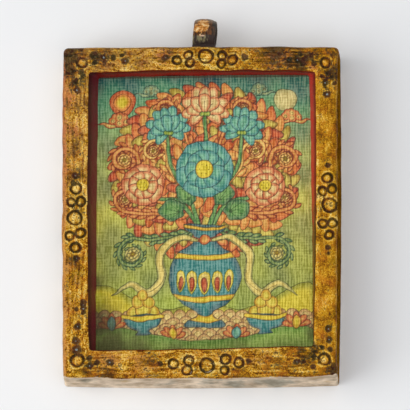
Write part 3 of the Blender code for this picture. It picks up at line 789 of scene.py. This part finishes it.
def paint_picture(spots):
    """A vase of lotus and other blossoms between bowls of fruit, with hills, water, clouds, sun and moon."""
    art = Painting(spots, ground(spots))
    # Far hills, waves and a meadow
    art.fill(curve((-21, -27), (-21, -14.6), (-17, -12.8), (-12, -15.6), (-6, -17.2), (0.5, -16), (7, -17.2),
                   (13, -15.2), (17.6, -12.6), (21, -14.2), (21, -27)), ((150, 150, 44), (222, 204, 62)), 1.6)
    arch = np.array([(math.cos(a), math.sin(a)) for a in np.linspace(math.pi, 0, 9)])
    crest = np.array([(math.cos(a), math.sin(a)) for a in np.linspace(math.pi, 0, 7)])
    wave = np.concatenate([arch * (1.2, 1), [(1.2, -1.4), (-1.2, -1.4)]])
    for row in range(5):
        for k in range(-12, 13):
            middle = (2.3 * (k + 0.5 * (row % 2)) + MIDDLE, -18.3 - 1.15 * row)
            art.fill(wave + middle, ((196, 150, 104), (232, 206, 140)), 0.8)
            art.line(crest * (0.6, 0.5) + (0, -0.1) + middle, 1.3)
    art.fill(curve((-21, -30), (-21, -21.6), (-14, -20.6), (-7, -22.4), (0.5, -23), (8, -22.2), (15, -20.4),
                   (21, -21.8), (21, -30)), ((100, 144, 60), (152, 184, 94)), 1.8)
    # Sun and moon among clouds in the top corners
    art.discs([(-14.6, 21.3, 2.4)], (CORAL, (226, 150, 84)), 1.2)
    art.discs([(-14.6, 21.3, 1.6)], (ORANGE, YELLOW), 1)
    art.discs([(15.4, 21.6, 2.2)], ((190, 186, 132), (232, 220, 160)), 1)
    for x, y, size, tones in ((-9.4, 23.3, 0.8, MIST), (10.4, 23.4, 0.8, MIST), (-15.2, 17.9, 1, ROSE),
                              (16.6, 18.4, 0.95, ROSE)):
        art.cloud(x, y, size, x < 0, tones)
    # Rows of leaves that spread behind the bunch, and curled foliage over them
    for row, reach in enumerate(np.arange(16.4, 5, -1.45)):
        count = 2 * round(1.35 * reach)
        for k in range(count):
            turn = 2 * math.pi * (k + 0.5 * (row % 2)) / count
            x, y = MIDDLE + (reach - 1.6) * math.cos(turn), 8.2 + 0.94 * (reach - 1.6) * math.sin(turn)
            leaf = petal(x, y, math.degrees(turn), 3, 2.3, 1.3 * (-1) ** row, 0.6)
            art.fill(leaf, FOLIAGE[(3 * k + 2 * row) % len(FOLIAGE)], 0.7)
    for flip, side in ((False, 1), (True, -1)):
        for vine in COILED_VINES:
            art.coiled_vine(flip, *vine)
        for stem in STEMS:
            art.stroke(mirrored(flip, *stem), (0.8, 0.7, 0.6), STALK, 0.3)
        art.round_leaf(MIDDLE + side * 5.4, 1, 2.3, 90 - side * 75)
        art.round_leaf(MIDDLE + side * 3.2, 3.6, 2.1, 90 - side * 30)
    art.rosette(-10.8, 6, 3.9, 8, BLOSSOM, 10)
    art.rosette(11.6, 5.6, 3.8, 8, BLOSSOM)
    art.lotus(-6.1, 15.8, 4.1, WATER, 12)
    art.lotus(7.3, 15.6, 4.1, WATER, -12)
    art.stroke(curve((0.5, 8), (0.7, 13), (0.5, 18.6)), (0.8, 0.7), STALK, 0.3)
    art.rosette(0.5, 8.8, 5.4, 9, WATER, 5)
    art.lotus(0.6, 19.2, 4.4, ((214, 120, 84), (240, 216, 160)), 0)
    # Vase, with its bands and a row of pointed ornaments
    art.fill(np.concatenate([VASE, VASE[::-1] * (-1, 1)]) + (MIDDLE, 0), GLAZE, 1.6)
    across = np.linspace(1, -1, 13)[1:-1, None]
    sag = np.concatenate([across * 0, 0.45 * (1 - across**2)], axis=1)
    for low, high, tones in BANDS:
        part = VASE[(VASE[:, 1] >= low) & (VASE[:, 1] <= high)]
        top = part[-1] * np.concatenate([across, across**0], axis=1)
        foot = part[0] * np.concatenate([-across, across**0], axis=1)
        band = np.concatenate([part, top - sag, part[::-1] * (-1, 1), foot - sag])
        art.fill(band + (MIDDLE, 0), tones, 0.5)
    for x, width in ((-4, 1.6), (5, 1.6), (-1.9, 2), (2.9, 2), (0.5, 2.3)):
        foot = -14.1 - 0.12 * (4 - abs(x - MIDDLE))
        art.fill(petal(x, foot, 90, 4.2, width, 0, 0.45), (YELLOW, CREAM), 0.5)
        art.fill(petal(x, foot + 0.4, 90, 2.6, width * 0.5, 0, 0.45), (MAROON, CORAL), 0.4)
    # Scarf
    for flip in (False, True):
        fall = mirrored(flip, (1.5, -4.4), (4.6, -3.9), (8.2, -7), (7.9, -11.6), (10.4, -14.2), (13.6, -12.6),
                        (17, -14.6))
        art.stroke(fall, (0.6, 1.3, 1.6, 1.4, 1.6, 1.2, 0.1), ((156, 156, 100), CREAM), 0.5)
        crease = mirrored(flip, (2.5, -4.2), (5, -4.5), (7.7, -7.3), (7.5, -11.7), (10.3, -13.9),
                          (13.2, -12.9))
        art.line(crease, 1.2)
    art.discs([(0.5, -4.3, 1)], FLAME, 0.6)
    # Bowls of fruit, and jewels
    for x, y in BOWL_PLACES:
        for dx, dy, radius in FRUIT:
            art.discs([(x + dx, y + dy, radius)], (GOLD, (222, 204, 84)), 0.7)
        art.fill(BOWL + (x, y), GLAZE, 0.7)
        art.stroke(curve((-3.6, 0), (0, -0.5), (3.6, 0)) + (x, y), (0.7, 0.9, 0.7), GILT, 0.3)
    for x, y, size, tones in ((-16.5, -20, 1.3, WATER), (17.3, -20, 1.3, GILT), (-5.2, -21.9, 1.2, GILT),
                              (6.3, -21.9, 1.2, WATER)):
        art.jewel(x, y, size, tones)
    return art


def cloth_board(spots, levels, **attributes):
    """The cloth's face as a grid of four-sided faces, with its edge carried down to a flat underside. Each
    attribute of the face is carried down its edge too."""
    rows, columns = levels.shape
    index = np.arange(rows * columns).reshape(rows, columns)
    faces = np.stack([index[:-1, :-1], index[:-1, 1:], index[1:, 1:], index[1:, :-1]], axis=-1).reshape(-1, 4)
    border = np.concatenate([index[0, :-1], index[:-1, -1], index[-1, :0:-1], index[:0:-1, 0]])
    below = index.size + np.arange(len(border))
    skirt = np.stack([border, below, np.roll(below, -1), np.roll(border, -1)], axis=-1)
    places = np.concatenate([spots, levels[..., None]], axis=-1).reshape(-1, 3)
    places = np.concatenate([places, places[border] * (1, 1, 0) + (0, 0, RECESS_FLOOR)])
    for key, value in attributes.items():
        flat = value.reshape(index.size, -1)
        attributes[key] = np.concatenate([flat, flat[border]])
    faces = faces.tolist() + skirt.tolist() + [below[::-1].tolist()]
    return shaped("canvas_cloth", places, faces, **attributes)


top_left, top_right, low_right, low_left = np.array(CLOTH_CORNERS)
up, side = np.linspace(0, 1, CLOTH_ROWS)[:, None, None], np.linspace(0, 1, CLOTH_COLUMNS)[:, None]
low_edge, top_edge = low_left * (1 - side) + low_right * side, top_left * (1 - side) + top_right * side
cloth_spots = low_edge * (1 - up) + top_edge * up
hand = np.stack([0.16 * lumps(cloth_spots, 7.0, seed) + 0.07 * lumps(cloth_spots, 2.4, seed + 1)
                 for seed in (21, 23)], axis=-1)
picture = paint_picture(cloth_spots + hand)
levels = CLOTH_FACE - 0.05 + 0.035 * lumps(cloth_spots, 11.0, 31) + 0.012 * lumps(cloth_spots, 2.5, 32)
# The colours are strengthened, and lightened towards the left side as painted light that offsets the shade
# the recess wall casts there
shaded = 0.2 * np.exp(-(cloth_spots[..., :1] + 19.6) / 3.2)
grey = picture.colour.mean(axis=-1, keepdims=True)
tints = np.clip((grey + 1.22 * (picture.colour - grey)) * (1 + shaded), 0, 255)
# Painted shade: a dark line along the cloth's top edge, under the recess wall
top_shade = 0.8 * ridge(cloth_spots[..., 1], TOP_SHADE, TOP_SHADE_WIDTH)
canvas_cloth = cloth_board(
    cloth_spots, np.minimum(levels, CLOTH_FACE),
    paint=np.concatenate([eye(tints), np.ones((CLOTH_ROWS, CLOTH_COLUMNS, 1))], axis=-1),
    ink=picture.ink, stain=np.maximum(patches(STAINS, cloth_spots), top_shade))

cloth = Paint("painted_cotton_cloth")
place, across, along = cloth.where()
wobble = cloth.noise(place, 240, 2, 0.5)
warp_run = cloth.noise(place, 1.5 / THREAD, 1, 0.5, (1.0, 0.14, 0.0))
weft_run = cloth.noise(place, 1.5 / THREAD, 1, 0.5, (0.16, 1.0, 0.0))
warp = 0.5 + 0.5 * cloth.maths("SINE", across * (2 * math.pi / THREAD) + wobble * 9)
weft = 0.5 + 0.5 * cloth.maths("SINE", along * (2 * math.pi / THREAD) + wobble * 7)
grain, wash = cloth.noise(place, 2400, 3, 0.65), cloth.noise(place, 420, 4)
thread = (0.5 + (warp - 0.5) * 0.45 + (warp_run - 0.5) * 2.4 + (weft - 0.5) * 0.16 + (weft_run - 0.5) * 1.2
          + (grain - 0.5) * 1.2 + (wash - 0.5) * 0.8)
paint = cloth.held("paint", "Color")
shadow = cloth.mix(1.0, paint, (208, 206, 186), blend="MULTIPLY")
colour = cloth.mix(cloth.step(thread, 0.0, 0.95), shadow, cloth.mix(0.15, paint, (255, 246, 170)))
ink = 1 - cloth.step(cloth.held("ink") + (grain - 0.5) * 0.1, 0.05, 0.115)
colour = cloth.mix(ink * (0.7 + wash * 0.35), colour, cloth.mix(0.2, (38, 27, 16), paint))
# Stains darken the cloth here, and so does the painted shade along its top edge
stain = cloth.step(cloth.held("stain") + (wash - 0.5) * 0.8 + (grain - 0.5) * 0.3, 0.1, 0.95)
colour = cloth.mix(stain * 0.85, colour, cloth.mix(wash, (56, 44, 24), (88, 76, 42)))
weave = cloth.bump(warp * 0.5 + weft * 0.5 + grain * 0.4, 0.00007)
canvas_cloth.data.materials.append(cloth.finish(Base_Color=colour, Roughness=0.78, Normal=weave))
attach(canvas_cloth, "root")
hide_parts("canvas")


# ---- Hanging ring --------------------------------------------------------------------------------
# A short thick ring of cast brass on a foot that is pressed against the top of the frame, open from side
# to side for a cord. Its top is worn bright, with painted light on its upper left; its foot is crusted, and
# painted shade darkens it and the right side.
RING_CENTRE = np.array((0.6, 34.016, 6.2))
RING_RADIUS, RING_BORE, RING_HALF = 2.9, 1.85, 2.08
RING_CROWN, RING_CORNER, RING_LEDGE, RING_LEAN = 0.62, 0.38, 0.2, 0.11
FOOT_REACH, FOOT_HALF, FOOT_TURN = 3.22, 1.6, 1.2
LEDGE_START, LEDGE_RISE, LEDGE_END, LEDGE_FALL = 0.02, 0.14, 1.25, 0.3
RING_TURNS, SIDE_POINTS, CORNER_POINTS = 168, 15, 6


def ring_grid():
    """A rectangle with rounded corners and a crowned outer side, carried round the X axis. Towards the
    frame its outer side is stretched to a flat foot, as reach over the cosine of the turn, and on the
    front, below the middle, it steps in by a shallow ledge."""
    turn = np.linspace(0, 2 * math.pi, RING_TURNS, endpoint=False)
    arc = np.linspace(0, math.pi / 2, CORNER_POINTS)[:, None]
    flat = np.linspace(0, 1, SIDE_POINTS)[1:-1, None]
    corner = np.array((RING_HALF, (RING_RADIUS - RING_BORE) / 2)) - RING_CORNER
    pieces = []
    for quarter, signs in enumerate(((1, 1), (-1, 1), (-1, -1), (1, -1))):
        angle = arc + quarter * math.pi / 2
        pieces.append(corner * signs + RING_CORNER * np.concatenate([np.cos(angle), np.sin(angle)], axis=1))
        reach = -2 * corner * signs * ((1, 0) if quarter % 2 == 0 else (0, 1))
        pieces.append(pieces[-1][-1] + flat * reach)
    profile = np.concatenate(pieces)
    share = (profile[:, 1] / (RING_RADIUS - RING_BORE) + 0.5)[:, None]
    down = np.abs((turn - 0.5 * math.pi) % (2 * math.pi) - math.pi)
    foot = np.minimum(FOOT_REACH / np.cos(np.minimum(down, FOOT_TURN)),
                      FOOT_HALF / np.sin(np.maximum(down, 0.05)))
    below = (2 * math.pi - turn) % (2 * math.pi)
    ledge = RING_LEDGE * np.clip((below - LEDGE_START) / LEDGE_RISE, 0, 1)
    ledge *= np.clip((LEDGE_END - below) / LEDGE_FALL, 0, 1)
    crown = RING_CROWN * ((profile[:, :1] / RING_HALF + 0.12) / 1.12) ** 2 * np.clip(0.4 + np.sin(turn), 0, 1)
    outside = np.maximum(RING_RADIUS, np.where(down < FOOT_TURN, foot, 0)) - ledge - crown
    radius = RING_BORE + share * (outside - RING_BORE)
    grid = np.stack([profile[:, :1] + 0 * radius, radius * np.sin(turn), radius * np.cos(turn)], axis=-1)
    grid = RING_CENTRE + grid.transpose(1, 0, 2)
    grid[..., 0] += RING_LEAN * np.clip(grid[..., 1] - RING_CENTRE[1] + 0.3, -2.5, 1.3)
    away = (grid - RING_CENTRE) * (0.4, 1, 1)
    away /= np.linalg.norm(away, axis=-1)[..., None]
    dents = 0.045 * lumps(grid, 2.2, 41) + 0.05 * lumps(grid, 0.7, 42) - 0.05
    return grid + away * dents[..., None]


hanging_band = skin("hanging_band", ring_grid(), wrap_rows=True)
brass = Paint("worn_ring_brass")
place, side, up = brass.where()
grit, grain = brass.noise(place, 3800, 3, 0.7), brass.noise(place, 1300, 4, 0.65)
runs = brass.noise(place, 2600, 2, stretch=(1.0, 0.25, 0.3))
streaks = brass.noise(place, 3000, 2, stretch=(0.3, 1.0, 1.0))
gold = brass.ramp(grain * 0.6 + streaks * 0.4, (0.38, (96, 52, 16)), (0.45, (170, 104, 34)),
                  (0.52, (222, 150, 66)), (0.60, (255, 218, 156)))
rough = (grain - 0.5) * 0.0008
# Worn bright in an oval on the upper left, brightened further as painted light from the left, with pits under
# it and a painted highlight on the ledge's lip
from_side, from_top = (side - up * 0.3 + 0.01036) * (1 / 0.0013), (up - 0.03495) * (1 / 0.0017)
oval = (grain - 0.5) * 1.3 + (runs - 0.5) * 0.5 - from_side * from_side - from_top * from_top
lit = brass.step(oval, -1.25, -0.6) * brass.step(up + (runs - 0.5) * 0.0009, 0.0332, 0.0335)
pits = brass.step(brass.noise(place, 2700, 1, 0.5, (1.0, 0.8, 0.3)), 0.44, 0.5)
pits = pits * brass.step(0.0343 - up, 0.0, 0.0003)
from_side, from_lip = (side - 0.00022) * (1 / 0.0006), (up - 0.03326) * (1 / 0.00016)
lip_highlight = brass.step((grit - 0.5) * 2 - from_side * from_side - from_lip * from_lip, -1.0, -0.4)
# Dark elsewhere: brown above the ledge, greyer and darker to the right as painted shade, and paler at the
# crown; crusted below it, darker on the right as painted shade too
dark = brass.mix(brass.step(runs, 0.38, 0.62), (52, 32, 18), (120, 74, 38))
dark = brass.mix(brass.step(side, 0.0017, 0.0026) * 0.7, dark, (62, 62, 58))
dark = brass.mix(brass.step(up, 0.0353, 0.0368) * 0.7, dark, (176, 152, 124))
crust = brass.step(runs, 0.43, 0.60) * brass.step(up + rough, 0.0318, 0.0325)
crust = brass.mix(crust, (60, 48, 44), (134, 126, 92))
crust = brass.mix(brass.step(side + rough, 0.0009, 0.0016), crust, (62, 48, 44))
colour = brass.mix(brass.step(0.0335 - up + rough, 0.0, 0.0003), dark, crust)
colour = brass.mix(lit, colour, brass.mix(pits * 0.9, gold, (64, 38, 12)))
colour = brass.mix(lip_highlight * 0.85, colour, (226, 190, 158))
hanging_band.data.materials.append(brass.finish(
    Base_Color=colour, Roughness=0.6 - 0.26 * lit, Specular_IOR_Level=0.3,
    Metallic=0.3 * lit, Normal=brass.bump(grain + grit * 0.5, 0.0003)))
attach(hanging_band, "root")
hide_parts("hanging_ring")
